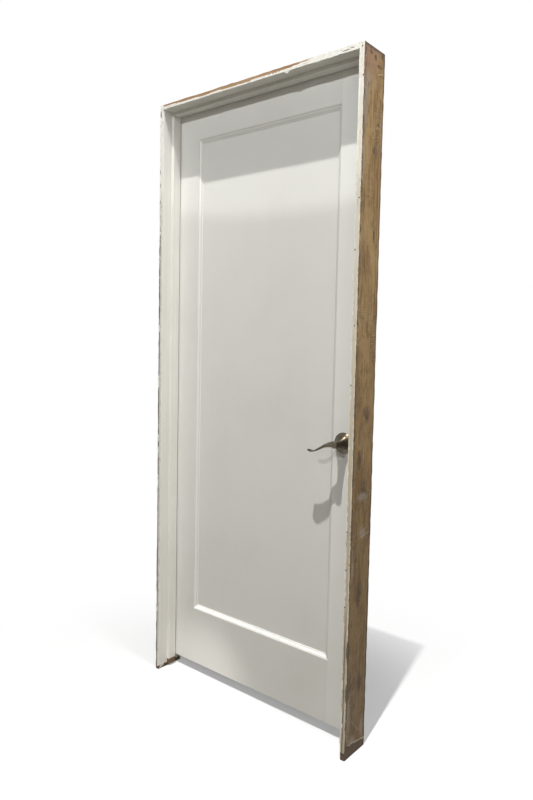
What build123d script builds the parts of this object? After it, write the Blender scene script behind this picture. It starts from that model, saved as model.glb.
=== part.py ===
from build123d import *
import os

# Interior door in its frame, casing removed. One flat panel, butt hinges, lever handles.
# X runs from the hinge jamb's outer face to the strike side, Y from the stop side to the
# hinge side, Z up. The origin is on the hinge jamb's outer face, at half the frame's depth
# and at the line where the finished floor met the jambs.

# Door leaf
door_width = 813.0
door_height = 2056.0
door_thickness = 35.0
stile_width = 99.0
top_rail_height = 99.0
bottom_rail_height = 210.0
panel_thickness = 16.0
panel_tongue = 10.0
moulding_width = 14.0
moulding_sink = 1.5
moulding_step = 2.5
moulding_fillet_width = 3.0
moulding_bead = 3.0

# Frame
jamb_thickness = 17.5
jamb_depth = 116.0
edge_gap = 5.0
lock_edge_gap = 6.5
foot_gap = 37.0
floor_line = 25.0
head_drop = 7.5
head_rebate = 8.0
stop_thickness = 11.0
stop_width = 33.0
stop_gap = 5.0
stop_foot_gap = 9.0
stop_edge_radius = 1.5

# Butt hinges
hinge_height = 89.0
hinge_leaf_thickness = 2.2
hinge_leaf_inset = 31.0
hinge_corner_radius = 6.4
hinge_knuckle_radius = 6.0
hinge_knuckle_count = 5
hinge_knuckle_gap = 0.3
hinge_pin_radius = 3.0
hinge_pin_clearance = 0.05
hinge_pin_head_height = 3.0
hinge_pin_head_rim = 0.6
hinge_pin_head_chamfer = 1.0
hinge_pin_tip = 4.0
hinge_pin_offset = 6.5
top_hinge_drop = 178.0
bottom_hinge_rise = 279.0

# Lock and latch
lever_rise = 920.0
backset = 60.0
cross_bore_radius = 27.0
lock_chassis_clearance = 0.5
latch_bore_radius = 12.5
latch_case_clearance = 0.3
latch_plate_height = 57.0
latch_plate_width = 25.0
latch_plate_thickness = 1.6
latch_plate_corner = 6.4
latch_bolt_width = 13.0
latch_bolt_height = 17.0
latch_bolt_proud = 1.0
latch_bolt_clearance = 0.3
latch_bolt_length = 30.0
strike_plate_height = 57.0
strike_plate_width = 28.0
strike_plate_thickness = 1.6
strike_plate_corner = 6.4
strike_lip_length = 7.0
strike_lip_curl = 4.0
strike_lip_steps = 4
strike_hole_height = 26.0
strike_hole_width = 16.0
strike_pocket_depth = 11.0

# Roses and lever handles
rose_radius = 33.0
rose_rim = 3.5
rose_height = 10.0
rose_crown_radius = 20.5
rose_dome_steps = 2
rose_gap = 0.4
shank_radius = 9.5
shank_clearance = 0.05
spindle_width = 8.0
spindle_clearance = 0.1
spindle_seat = 12.0
chassis_bore_radius = 7.0
neck_base_radius = 24.0
neck_front_radius = 11.0
neck_steps = 4
neck_power = 2.4
lever_projection = 58.0
lever_length = 95.0
lever_depth = 18.0
lever_tip_depth = 15.0
lever_bow = 8.0
lever_steps = 9
lever_root_height = 21.0
lever_waist_height = 7.0
lever_blade_height = 5.0
lever_drop = 28.0
lever_tip_lift = 2.0
pin_hole_radius = 1.6
pin_hole_depth = 14.0
privacy_button_radius = 5.0
privacy_button_height = 4.0
privacy_bar_width = 2.5
privacy_bar_height = 5.0

# Places that follow from the sizes above
opening_width = door_width + edge_gap + lock_edge_gap
frame_width = opening_width + 2 * jamb_thickness
foot_z = -floor_line
door_bottom = foot_z + foot_gap
door_top = door_bottom + door_height
head_underside = door_top + head_drop
frame_top = head_underside + jamb_thickness
front_y = -jamb_depth / 2
back_y = jamb_depth / 2
door_face = back_y - door_thickness
door_middle = back_y - door_thickness / 2
stop_back = door_face - stop_gap
stop_front = stop_back - stop_width
left_jamb_face = jamb_thickness
right_jamb_face = frame_width - jamb_thickness
door_left = left_jamb_face + edge_gap
door_right = door_left + door_width
panel_left = door_left + stile_width
panel_right = door_right - stile_width
panel_bottom = door_bottom + bottom_rail_height
panel_top = door_top - top_rail_height
panel_recess = (door_thickness - panel_thickness) / 2
moulding_depth = panel_recess - moulding_sink
pin_x = left_jamb_face + edge_gap / 2
pin_y = back_y + hinge_pin_offset
hinge_levels = {
    "top": door_top - top_hinge_drop,
    "middle": (door_top - top_hinge_drop + door_bottom + bottom_hinge_rise) / 2,
    "bottom": door_bottom + bottom_hinge_rise,
}
lever_x = door_right - backset
lever_z = door_bottom + lever_rise


def block(low, high):
    """A box between two opposite corners."""
    size = [high[i] - low[i] for i in range(3)]
    return Pos(*low) * Box(*size, align=(Align.MIN, Align.MIN, Align.MIN))


def stepped(curve, count):
    """The same curve as straight steps, which keeps the solid light."""
    return Polyline(*[curve @ (i / count) for i in range(count + 1)])


def rod_y(radius, start, end, x, z):
    """A round bar along Y."""
    bar = Cylinder(radius, end - start, align=(Align.CENTER, Align.CENTER, Align.MIN))
    return Pos(x, start, z) * Rot(-90, 0, 0) * bar


def rod_x(radius, start, end, y, z):
    """A round bar along X."""
    bar = Cylinder(radius, end - start, align=(Align.CENTER, Align.CENTER, Align.MIN))
    return Pos(start, y, z) * Rot(0, 90, 0) * bar


def rod_z(radius, start, end, x, y):
    """A round bar along Z."""
    bar = Cylinder(radius, end - start, align=(Align.CENTER, Align.CENTER, Align.MIN))
    return Pos(x, y, start) * bar


def to_back(shape):
    """The same piece on the door's other face."""
    return mirror(shape, about=Plane.XZ.offset(-door_middle))


# Frame pieces


def jamb_blank(low_x):
    return block((low_x, front_y, foot_z), (low_x + jamb_thickness, back_y, frame_top))


def head_rebate_cut():
    """The space of the head jamb, whose ends are let into both side jambs."""
    low_x = left_jamb_face - head_rebate
    high_x = right_jamb_face + head_rebate
    return block((low_x, front_y, head_underside), (high_x, back_y, frame_top))


def hinge_pocket(face_x, side, level):
    """The mortise of one hinge leaf, on the jamb (side -1) or on the door (side 1)."""
    near, far = sorted((face_x, face_x + side * hinge_leaf_thickness))
    low = (near, back_y - hinge_leaf_inset, level - hinge_height / 2)
    high = (far, back_y, level + hinge_height / 2)
    pocket = block(low, high)
    corners = pocket.edges().filter_by(Axis.X).group_by(Axis.Y)[0]
    return fillet(corners, hinge_corner_radius)


def hinge_jamb():
    jamb = jamb_blank(0) - head_rebate_cut()
    for level in hinge_levels.values():
        jamb -= hinge_pocket(left_jamb_face, -1, level)
    return jamb


def strike_jamb():
    jamb = jamb_blank(right_jamb_face) - head_rebate_cut()
    jamb -= strike_plate_blank()
    jamb -= strike_opening(right_jamb_face, right_jamb_face + strike_pocket_depth)
    return jamb


def side_stop(jamb_face, side):
    near, far = sorted((jamb_face, jamb_face + side * stop_thickness))
    low = (near, stop_front, foot_z + stop_foot_gap)
    high = (far, stop_back, head_underside - stop_thickness)
    stop = block(low, high)
    corner = stop.edges().filter_by(Axis.Z).sort_by(lambda e: e.center().X * side)[-2:]
    front = corner.sort_by(Axis.Y)[0]
    return fillet(front, stop_edge_radius)


def head_stop():
    low = (left_jamb_face, stop_front, head_underside - stop_thickness)
    high = (right_jamb_face, stop_back, head_underside)
    stop = block(low, high)
    front = stop.edges().filter_by(Axis.X).group_by(Axis.Z)[0].sort_by(Axis.Y)[0]
    return fillet(front, stop_edge_radius)


# Door leaf


def panel_solid():
    low_y = door_face + panel_recess
    low = (panel_left - panel_tongue, low_y, panel_bottom - panel_tongue)
    high = (panel_right + panel_tongue, low_y + panel_thickness, panel_top + panel_tongue)
    return block(low, high)


def stile(low_x):
    low = (low_x, door_face, door_bottom)
    return block(low, (low_x + stile_width, back_y, door_top)) - panel_solid()


def hinge_stile():
    piece = stile(door_left)
    for level in hinge_levels.values():
        piece -= hinge_pocket(door_left, 1, level)
    return piece


def lock_stile():
    piece = stile(panel_right)
    piece -= rod_y(cross_bore_radius, door_face, back_y, lever_x, lever_z)
    piece -= rod_x(latch_bore_radius, lever_x, door_right, door_middle, lever_z)
    return piece - latch_plate_blank()


def rail(low_z, high_z):
    return block((panel_left, door_face, low_z), (panel_right, back_y, high_z)) - panel_solid()


def moulding_profile():
    """Section of the panel moulding: across the panel, then out towards the door face."""
    rise = moulding_depth
    width = moulding_width
    shelf = moulding_step
    flat = moulding_fillet_width
    outline = Polyline((flat, rise), (0, rise), (0, 0), (width, 0), (width, shelf), (width - moulding_bead, shelf))
    slope = RadiusArc(outline @ 1, outline @ 0, -2.2 * width)
    return make_face([outline, slope])


def moulding_length(length):
    """One mitred length, its back edge along X, growing in Z, its base on Y = 0."""
    section = Plane((0, 0, 0), x_dir=(0, 0, 1), z_dir=(1, 0, 0)) * moulding_profile()
    bar = Pos(-length / 2, 0, 0) * extrude(section, length)
    short = length / 2 - moulding_width
    mitre = Plane.XZ * Polygon(
        (-length / 2, 0), (length / 2, 0), (short, moulding_width), (-short, moulding_width), align=None
    )
    return bar & extrude(mitre, moulding_depth, both=True)


def mouldings():
    """The four mitred lengths round the panel on the stop side, by name."""
    wide = panel_right - panel_left
    tall = panel_top - panel_bottom
    middle_x = (panel_left + panel_right) / 2
    middle_z = (panel_bottom + panel_top) / 2
    base_y = door_face + panel_recess
    places = {
        "bottom": (wide, middle_x, panel_bottom, 0),
        "top": (wide, middle_x, panel_top, 180),
        "hinge_side": (tall, panel_left, middle_z, 90),
        "lock_side": (tall, panel_right, middle_z, -90),
    }
    return {
        name: Pos(x, base_y, z) * Rot(0, turn, 0) * moulding_length(length)
        for name, (length, x, z, turn) in places.items()
    }


# Hinges


def knuckle_spans(level, first):
    """Heights of every second knuckle, beginning with the first or the second."""
    pitch = (hinge_height + hinge_knuckle_gap) / hinge_knuckle_count
    bottom = level - hinge_height / 2
    for i in range(first, hinge_knuckle_count, 2):
        yield bottom + i * pitch, bottom + (i + 1) * pitch - hinge_knuckle_gap


def hinge_leaf(face_x, side, level, first):
    leaf = hinge_pocket(face_x, side, level)
    near, far = sorted((face_x, face_x + side * hinge_leaf_thickness))
    for low, high in knuckle_spans(level, first):
        leaf += block((near, back_y, low), (far, pin_y, high))
        leaf += rod_z(hinge_knuckle_radius, low, high, pin_x, pin_y)
    hole = hinge_pin_radius + hinge_pin_clearance
    reach = hinge_height / 2 + hinge_pin_tip
    return leaf - rod_z(hole, level - reach, level + reach, pin_x, pin_y)


def hinge_pin(level):
    top = level + hinge_height / 2
    bottom = level - hinge_height / 2
    pin = rod_z(hinge_pin_radius, bottom - hinge_pin_tip, top, pin_x, pin_y)
    head_radius = hinge_knuckle_radius + hinge_pin_head_rim
    head = rod_z(head_radius, top, top + hinge_pin_head_height, pin_x, pin_y)
    head = chamfer(head.edges().group_by(Axis.Z)[-1], hinge_pin_head_chamfer)
    return pin + head


# Latch


def latch_plate_blank():
    low = (door_right - latch_plate_thickness, door_middle - latch_plate_width / 2, lever_z - latch_plate_height / 2)
    high = (door_right, door_middle + latch_plate_width / 2, lever_z + latch_plate_height / 2)
    plate = block(low, high)
    return fillet(plate.edges().filter_by(Axis.X), latch_plate_corner)


def bolt_space(low_x, high_x, clearance):
    low = (low_x, door_middle - latch_bolt_width / 2 - clearance, lever_z - latch_bolt_height / 2 - clearance)
    high = (high_x, door_middle + latch_bolt_width / 2 + clearance, lever_z + latch_bolt_height / 2 + clearance)
    return block(low, high)


def latch_faceplate():
    plate = latch_plate_blank()
    return plate - bolt_space(door_right - latch_plate_thickness, door_right, latch_bolt_clearance)


def latch_bolt():
    """The spring bolt, drawn back until its tip just shows, with the closing bevel on its tip."""
    bolt = bolt_space(door_right - latch_bolt_length, door_right + latch_bolt_proud, 0)
    tip = bolt.edges().filter_by(Axis.Z).group_by(Axis.X)[-1].sort_by(Axis.Y)[0]
    return chamfer(tip, latch_bolt_proud, latch_bolt_width * 0.8)


def latch_case():
    radius = latch_bore_radius - latch_case_clearance
    start = lever_x + chassis_radius() + latch_case_clearance
    case = rod_x(radius, start, door_right - latch_plate_thickness, door_middle, lever_z)
    return case - bolt_space(door_right - latch_bolt_length, door_right, latch_bolt_clearance)


def chassis_radius():
    return cross_bore_radius - lock_chassis_clearance


def lock_chassis():
    body = rod_y(chassis_radius(), door_face, back_y, lever_x, lever_z)
    return body - rod_y(chassis_bore_radius, door_face, back_y, lever_x, lever_z)


def strike_plate_blank():
    low_y = door_middle - strike_plate_width / 2
    low = (right_jamb_face, low_y, lever_z - strike_plate_height / 2)
    high = (right_jamb_face + strike_plate_thickness, back_y, lever_z + strike_plate_height / 2)
    plate = block(low, high)
    corners = plate.edges().filter_by(Axis.X).group_by(Axis.Y)[0]
    return fillet(corners, strike_plate_corner)


def strike_opening(low_x, high_x):
    low = (low_x, door_middle - strike_hole_width / 2, lever_z - strike_hole_height / 2)
    high = (high_x, door_middle + strike_hole_width / 2, lever_z + strike_hole_height / 2)
    return block(low, high)


def strike_plate():
    plate = strike_plate_blank()
    plate -= strike_opening(right_jamb_face, right_jamb_face + strike_plate_thickness)
    return plate + strike_lip()


def strike_lip():
    """The curled lip that guides the bolt in, behind the jamb's back edge."""
    inner = right_jamb_face
    outer = inner + strike_plate_thickness
    tip_y = back_y + strike_lip_length
    tip_x = inner + strike_lip_curl
    near = stepped(Bezier((inner, back_y), (inner, back_y + strike_lip_length * 0.6), (tip_x, tip_y)), strike_lip_steps)
    end = Line((tip_x, tip_y), (tip_x + strike_plate_thickness, tip_y - strike_plate_thickness * 0.4))
    far = stepped(Bezier(end @ 1, (outer, back_y + strike_lip_length * 0.4), (outer, back_y)), strike_lip_steps)
    close = Line((outer, back_y), (inner, back_y))
    lip = extrude(make_face([near, end, far, close]), strike_hole_height, dir=(0, 0, 1))
    return Pos(0, 0, lever_z - strike_hole_height / 2) * lip


# Roses and levers


def turned_y(points_and_arcs, x, z):
    """A solid turned about the lever's axis from an outline of radius and reach."""
    face = make_face(points_and_arcs)
    solid = revolve(face, Axis.Y)
    return Pos(x, 0, z) * solid


def front_rose():
    """A domed disc on the stop side, bored for the lever's shank."""
    bore = shank_radius + shank_clearance
    crown_y = door_face - rose_height
    dome = []
    for step in range(rose_dome_steps + 1):
        part = step / rose_dome_steps
        radius = rose_radius + part * (rose_crown_radius - rose_radius)
        rise = rose_rim + (rose_height - rose_rim) * (1 - (1 - part) ** 2)
        dome.append((radius, door_face - rise))
    outline = Polyline((bore, crown_y), (bore, door_face), (rose_radius, door_face), *dome, close=True)
    return turned_y([outline], lever_x, lever_z)


def lever_blade():
    """The wave-shaped grip: its side outline cut to its taper seen from above."""
    front = door_face - lever_projection
    back = front + lever_depth
    bow_room = lever_bow + 1
    half_root = lever_root_height / 2
    waist_x = -0.45 * lever_length
    waist_z = -0.38 * lever_drop
    low_x = -0.86 * lever_length
    low_z = -lever_drop
    tip_z = low_z + lever_tip_lift
    upper_curve = Spline(
        (0, half_root), (waist_x, waist_z + lever_waist_height / 2), (low_x, low_z + lever_blade_height / 2),
        (-lever_length, tip_z + lever_blade_height / 2), tangents=((-1, -0.05), (-1, 0.25)),
    )
    lower_curve = Spline(
        (0, -half_root), (waist_x, waist_z - lever_waist_height / 2), (low_x, low_z - lever_blade_height / 2),
        (-lever_length, tip_z - lever_blade_height / 2), tangents=((-1, 0.35), (-1, 0.25)),
    )
    upper = stepped(upper_curve, lever_steps)
    lower = stepped(lower_curve, lever_steps)
    tip = Polyline(upper @ 1, (-lever_length - lever_blade_height / 2, tip_z), lower @ 1)
    root = Line(lower @ 0, upper @ 0)
    side = make_face([upper, tip, lower, root])
    grip = extrude(Plane.XZ.offset(bow_room - front) * side, -lever_depth - 2 * bow_room)
    bow = lever_bow
    tip_x = -lever_length - lever_blade_height
    tip_front = back - lever_tip_depth - bow * 0.75
    plan_outline = Polyline(
        (tip_x, tip_front), (-lever_length * 0.82, front - bow), (-lever_length * 0.6, front - bow * 0.9),
        (-lever_length * 0.3, front - bow * 0.55), (-neck_front_radius, front), (0, front), (0, back),
        (-neck_front_radius, back), (-lever_length * 0.3, back - bow * 0.45),
        (-lever_length * 0.6, back - bow * 0.65), (-lever_length * 0.82, back - bow * 0.7), (tip_x, back - bow), close=True,
    )
    plan = make_face(plan_outline)
    reach = lever_drop + lever_root_height
    grip &= Pos(0, 0, -reach) * extrude(plan, 2 * reach, dir=(0, 0, 1))
    return grip


def front_lever():
    front = door_face - lever_projection
    rose_front = door_face - rose_height - rose_gap
    blade_back = front + lever_depth
    neck = Polyline(
        (0, front), (neck_front_radius - 2, front), (neck_front_radius, front + 2), (neck_front_radius, blade_back - 4),
    )
    slope = []
    for step in range(neck_steps + 1):
        part = (step / neck_steps) ** 0.7
        radius = neck_front_radius + (neck_base_radius - neck_front_radius) * part**neck_power
        slope.append((radius, blade_back - 4 + (rose_front - blade_back + 4) * part))
    flare = Polyline(*slope)
    base = Polyline(flare @ 1, (shank_radius, rose_front), (shank_radius, door_face), (0, door_face), (0, front))
    body = Pos(lever_x, 0, lever_z) * revolve(make_face([neck, flare, base]), Axis.Y)
    body += Pos(lever_x, 0, lever_z) * lever_blade()
    half = (spindle_width + spindle_clearance) / 2
    socket_low = (lever_x - half, door_face - spindle_seat, lever_z - half)
    body -= block(socket_low, (lever_x + half, door_face, lever_z + half))
    return body


def spindle():
    half = spindle_width / 2
    low = (lever_x - half, door_face - spindle_seat, lever_z - half)
    high = (lever_x + half, back_y + spindle_seat, lever_z + half)
    return block(low, high)


def privacy_button():
    """The inside turn button, on the end of the lever's neck."""
    front = door_face - lever_projection
    button = rod_y(privacy_button_radius, front - privacy_button_height, front, lever_x, lever_z)
    bar_low = (
        lever_x - privacy_bar_width / 2,
        front - privacy_button_height - privacy_bar_height,
        lever_z - privacy_button_radius * 0.8,
    )
    bar_high = (lever_x + privacy_bar_width / 2, front - privacy_button_height, lever_z + privacy_button_radius * 0.8)
    return to_back(button + block(bar_low, bar_high))


def build():
    """Every node of the door, by name."""
    nodes = {
        "hinge_jamb": hinge_jamb(),
        "strike_jamb": strike_jamb(),
        "head_jamb": head_rebate_cut(),
        "hinge_side_stop": side_stop(left_jamb_face, 1),
        "strike_side_stop": side_stop(right_jamb_face, -1),
        "head_stop": head_stop(),
        "strike_plate": strike_plate(),
        "hinge_stile": hinge_stile(),
        "lock_stile": lock_stile(),
        "top_rail": rail(panel_top, door_top),
        "bottom_rail": rail(door_bottom, panel_bottom),
        "panel": panel_solid(),
        "latch_faceplate": latch_faceplate(),
        "latch_bolt": latch_bolt(),
        "latch_case": latch_case(),
        "lock_chassis": lock_chassis(),
        "spindle": spindle(),
        "privacy_button": privacy_button(),
    }
    for name, length in mouldings().items():
        nodes[f"front_moulding_{name}"] = length
        nodes[f"back_moulding_{name}"] = to_back(length)
    for name, level in hinge_levels.items():
        nodes[f"{name}_hinge_jamb_leaf"] = hinge_leaf(left_jamb_face, -1, level, 0)
        nodes[f"{name}_hinge_door_leaf"] = hinge_leaf(door_left, 1, level, 1)
        nodes[f"{name}_hinge_pin"] = hinge_pin(level)
    rose = front_rose()
    lever = front_lever()
    front = door_face - lever_projection
    nodes["front_rose"] = rose
    nodes["back_rose"] = to_back(rose)
    nodes["front_lever"] = lever - rod_y(pin_hole_radius, front, front + pin_hole_depth, lever_x, lever_z)
    nodes["back_lever"] = to_back(lever)
    return nodes


os.makedirs("parts", exist_ok=True)
for node, shape in build().items():
    export_step(shape, f"parts/{node}.step")
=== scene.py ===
import bpy
import bmesh
import math
from mathutils import Matrix, Vector, noise


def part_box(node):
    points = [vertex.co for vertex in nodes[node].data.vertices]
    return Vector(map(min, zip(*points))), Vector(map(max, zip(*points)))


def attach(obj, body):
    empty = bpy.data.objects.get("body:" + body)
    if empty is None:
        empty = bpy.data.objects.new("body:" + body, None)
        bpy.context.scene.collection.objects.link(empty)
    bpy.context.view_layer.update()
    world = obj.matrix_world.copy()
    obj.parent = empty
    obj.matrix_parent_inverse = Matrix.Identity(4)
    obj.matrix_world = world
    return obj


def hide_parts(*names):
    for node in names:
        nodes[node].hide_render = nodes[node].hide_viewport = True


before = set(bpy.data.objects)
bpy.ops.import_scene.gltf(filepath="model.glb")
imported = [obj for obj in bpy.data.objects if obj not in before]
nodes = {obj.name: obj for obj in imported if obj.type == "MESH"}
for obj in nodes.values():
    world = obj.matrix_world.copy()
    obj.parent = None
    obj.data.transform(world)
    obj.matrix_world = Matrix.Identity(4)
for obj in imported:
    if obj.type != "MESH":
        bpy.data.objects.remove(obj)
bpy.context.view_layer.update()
scene = bpy.context.scene
print("frame loaded,", len(nodes), "nodes")

# places read from the frame, in metres
jambLow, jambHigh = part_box("strike_jamb")
hingeLow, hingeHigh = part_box("hinge_jamb")
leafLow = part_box("hinge_stile")[0]
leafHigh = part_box("lock_stile")[1]
panelLow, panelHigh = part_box("front_moulding_hinge_side")[0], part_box("front_moulding_lock_side")[1]
headLow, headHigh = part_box("head_jamb")
roseLow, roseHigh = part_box("front_rose")
footZ = jambLow.z
frontY = jambLow.y
backY = jambHigh.y

# shader helpers


def addNode(tree, kind, inputs=None, **settings):
    node = tree.nodes.new("ShaderNode" + kind)
    for name, value in settings.items():
        setattr(node, name, value)
    for key, value in (inputs or {}).items():
        if isinstance(value, Wire):
            tree.links.new(value.socket, node.inputs[key])
        else:
            node.inputs[key].default_value = value
    return node


def wireFrom(tree, kind, inputs=None, output=0, **settings):
    return Wire(tree, addNode(tree, kind, inputs, **settings).outputs[output])


def mathNode(tree, operation, first, second=0.0, clamp=False):
    return wireFrom(tree, "Math", {0: first, 1: second}, operation=operation, use_clamp=clamp)


def vectorNode(tree, operation, first, second=(0, 0, 0), output=0):
    return wireFrom(tree, "VectorMath", {0: first, 1: second}, output, operation=operation)


class Wire:
    # an output in a node tree; sums, products and the methods below add the nodes that they need
    def __init__(self, tree, socket):
        self.tree = tree
        self.socket = socket

    def __add__(self, other):
        return mathNode(self.tree, "ADD", self, other)

    def __sub__(self, other):
        return mathNode(self.tree, "SUBTRACT", self, other)

    def __rsub__(self, other):
        return mathNode(self.tree, "SUBTRACT", other, self)

    def __mul__(self, other):
        return mathNode(self.tree, "MULTIPLY", self, other)

    def __abs__(self):
        return mathNode(self.tree, "ABSOLUTE", self)

    def ramp(self, low, high, atLow=0.0, atHigh=1.0, curve="SMOOTHSTEP"):
        inputs = {0: self, 1: low, 2: high, 3: atLow, 4: atHigh}
        return wireFrom(self.tree, "MapRange", inputs, interpolation_type=curve)

    def sway(self, reach, low=0.25, high=0.75):
        # a noise as a shift to both sides
        return self.ramp(low, high, -reach, reach, "LINEAR")

    def mix(self, first, second):
        # this wire is the share of the second colour
        return wireFrom(self.tree, "Mix", {0: self, 6: first, 7: second}, 2, data_type="RGBA")

    def mapped(self, scale, at=(0, 0, 0), turn=(0, 0, 0)):
        inputs = {"Vector": self, "Scale": scale, "Location": at, "Rotation": turn}
        return wireFrom(self.tree, "Mapping", inputs)

    def noise(self, scale, detail=3.0, roughness=0.55, distortion=0.0):
        inputs = {"Vector": self, "Scale": scale, "Detail": detail, "Roughness": roughness}
        return wireFrom(self.tree, "TexNoise", {**inputs, "Distortion": distortion}, "Fac")

    def grain(self, scale, detail, roughness, distortion=0.0, at=(0, 0, 0)):
        # a noise with its own scale along each axis
        return self.mapped(scale, at).noise(1.0, detail, roughness, distortion)

    def parts(self):
        return [Wire(self.tree, socket) for socket in addNode(self.tree, "SeparateXYZ", {0: self}).outputs]

    def through(self, group, values):
        # the outputs of a shader group that takes this wire as its vector
        node = addNode(self.tree, "Group", {"Vector": self, **values}, node_tree=group)
        return {socket.name: Wire(self.tree, socket) for socket in node.outputs}


def combine(wires, operation="MAXIMUM"):
    total = wires[0]
    for wire in wires[1:]:
        total = mathNode(total.tree, operation, total, wire)
    return total


def colour(red, green, blue):
    return (red, green, blue, 1.0)


def grey(level):
    return colour(level, level, level)


def newMaterial(name):
    # a material with an empty tree, and its object coordinates
    material = bpy.data.materials.new(name)
    material.use_nodes = True
    material.node_tree.nodes.clear()
    return material, wireFrom(material.node_tree, "TexCoord", output="Object")


def finishSurface(base, roughness, height=None, distance=0.0, strength=1.0, extra=None):
    inputs = {"Base Color": base, "Roughness": roughness, **(extra or {})}
    if height is not None:
        bump = {"Height": height, "Distance": distance, "Strength": strength}
        inputs["Normal"] = wireFrom(base.tree, "Bump", bump)
    addNode(base.tree, "OutputMaterial", {"Surface": wireFrom(base.tree, "BsdfPrincipled", inputs)})


# shared effects, as shader groups

socketKinds = {"Vector": "Vector", "Centre": "Vector", "Stretch": "Vector", "Colour": "Color"}


def openGroup(name, inputs, outputs):
    group = bpy.data.node_groups.new(name, "ShaderNodeTree")
    for labels, way in ((inputs, "INPUT"), (outputs, "OUTPUT")):
        for label in labels:
            kind = "NodeSocket" + socketKinds.get(label, "Float")
            group.interface.new_socket(name=label, in_out=way, socket_type=kind)
    source = group.nodes.new("NodeGroupInput")
    return group, [Wire(group, source.outputs[label]) for label in inputs]


def closeGroup(group, values):
    sink = group.nodes.new("NodeGroupOutput")
    for label, value in values.items():
        group.links.new(value.socket, sink.inputs[label])
    return group


paintLook = {
    "clean": colour(0.80, 0.795, 0.765),
    "worn": colour(0.70, 0.685, 0.64),
    "grime": colour(0.36, 0.31, 0.24),
    # the moulding's painted light and painted shade
    "mouldingLit": colour(0.95, 0.945, 0.93),
    "mouldingShade": colour(0.17, 0.15, 0.12),
}

woodLook = {
    "light": colour(0.425, 0.285, 0.130),
    "middle": colour(0.215, 0.124, 0.044),
    "dark": colour(0.060, 0.034, 0.014),
    "grey": colour(0.37, 0.315, 0.26),
    "red": colour(0.30, 0.165, 0.115),
    "rub": colour(0.56, 0.45, 0.30),
}


def buildPaintGroup():
    group, (vector, grime, streaks) = openGroup(
        "brushedPaint", ("Vector", "Grime", "Streak"), ("Colour", "Roughness", "Height"))
    cloud = vector.noise(2.6, 4, 0.6)
    tone = cloud * 0.6 + vector.grain((60, 60, 1.2), 3, 0.6) * streaks
    base = tone.ramp(0.25, 0.72).mix(paintLook["clean"], paintLook["worn"])
    specks = vector.noise(90, 2, 0.5).ramp(0.68, 0.78)
    dirt = specks * vector.noise(5.5, 4, 0.65).ramp(0.56, 0.74) * grime
    stipple = vector.noise(420, 2, 0.5)
    brush = vector.grain((900, 900, 9), 2, 0.5)
    return closeGroup(group, {
        "Colour": dirt.mix(base, paintLook["grime"]),
        "Roughness": cloud.ramp(0.3, 0.7, 0.36, 0.5),
        "Height": stipple * 0.6 + brush * 0.4,
    })


def buildWoodGroup():
    group, (vector, darkness, bloom) = openGroup(
        "agedWood", ("Vector", "Darkness", "Bloom"), ("Colour", "Roughness", "Height"))
    cloud = vector.grain((16, 16, 5), 5, 0.62, 0.3)
    grain = vector.grain((150, 150, 2.4), 5, 0.65, 0.5)
    fibre = vector.grain((520, 520, 9), 3, 0.6)
    blotch = vector.grain((75, 75, 26), 6, 0.72, 0.4, (1, 9, 5))
    tone = grain * 0.3 + fibre * 0.14 + cloud * 0.42 + blotch * 0.34
    base = tone.ramp(0.52, 0.69).mix(woodLook["light"], woodLook["middle"])
    # light and dark rubs, slanted a little
    rub = vector.mapped((30, 30, 430), turn=(0.32, 0, 0)).noise(1.0, 4, 0.6)
    rubPatch = vector.grain((14, 14, 8), 4, 0.65, at=(5, 2, 3)).ramp(0.46, 0.66)
    base = (rub.ramp(0.54, 0.64) * (rubPatch * 0.5)).mix(base, woodLook["rub"])
    base = (rub.ramp(0.44, 0.36) * (rubPatch * 0.45)).mix(base, woodLook["dark"])
    sawPatch = vector.noise(9, 3, 0.6).ramp(0.45, 0.68)
    sawMark = vector.grain((22, 22, 620), 3, 0.55).ramp(0.42, 0.62) * (sawPatch * 0.22)
    base = sawMark.mix(base, woodLook["dark"])
    stain = vector.grain((24, 24, 11), 6, 0.7, 0.6, (3, 1, 7)).ramp(0.53, 0.74, 0.0, 0.62)
    base = mathNode(group, "ADD", stain, darkness, clamp=True).mix(base, woodLook["dark"])
    chalk = vector.grain((30, 30, 14), 6, 0.72, 0.8, (8, 5, 2)).ramp(0.52, 0.72)
    return closeGroup(group, {
        "Colour": (chalk * bloom).mix(base, woodLook["grey"]),
        "Roughness": fibre.ramp(0.3, 0.7, 0.62, 0.82),
        "Height": grain * 0.5 + fibre * 0.4 + sawMark * 0.8,
    })


def buildSpotGroup():
    # a soft-edged patch round a centre, with a ragged outline
    group, (vector, centre, stretch, rag, edge) = openGroup(
        "patch", ("Vector", "Centre", "Stretch", "Rag", "Edge"), ("Mask",))
    shaped = vectorNode(group, "MULTIPLY", vectorNode(group, "SUBTRACT", vector, centre), stretch)
    away = vectorNode(group, "LENGTH", shaped, output="Value")
    moved = away + (vector.noise(130, 5, 0.7) - 0.5) * rag
    return closeGroup(group, {"Mask": moved.ramp(1.0 - edge, 1.0, 1.0, 0.0)})


paintGroup = buildPaintGroup()
woodGroup = buildWoodGroup()
spotGroup = buildSpotGroup()


def patches(coords, x, deep, places, rag, edge):
    # one mask for all places, each given as depth, height, half width and half height
    masks = []
    for y, z, wide, tall in places:
        values = {"Centre": (x, y, z), "Stretch": (1 / deep, 1 / wide, 1 / tall), "Rag": rag, "Edge": edge}
        masks.append(coords.through(spotGroup, values)["Mask"])
    return combine(masks)


# paint and metal


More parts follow.
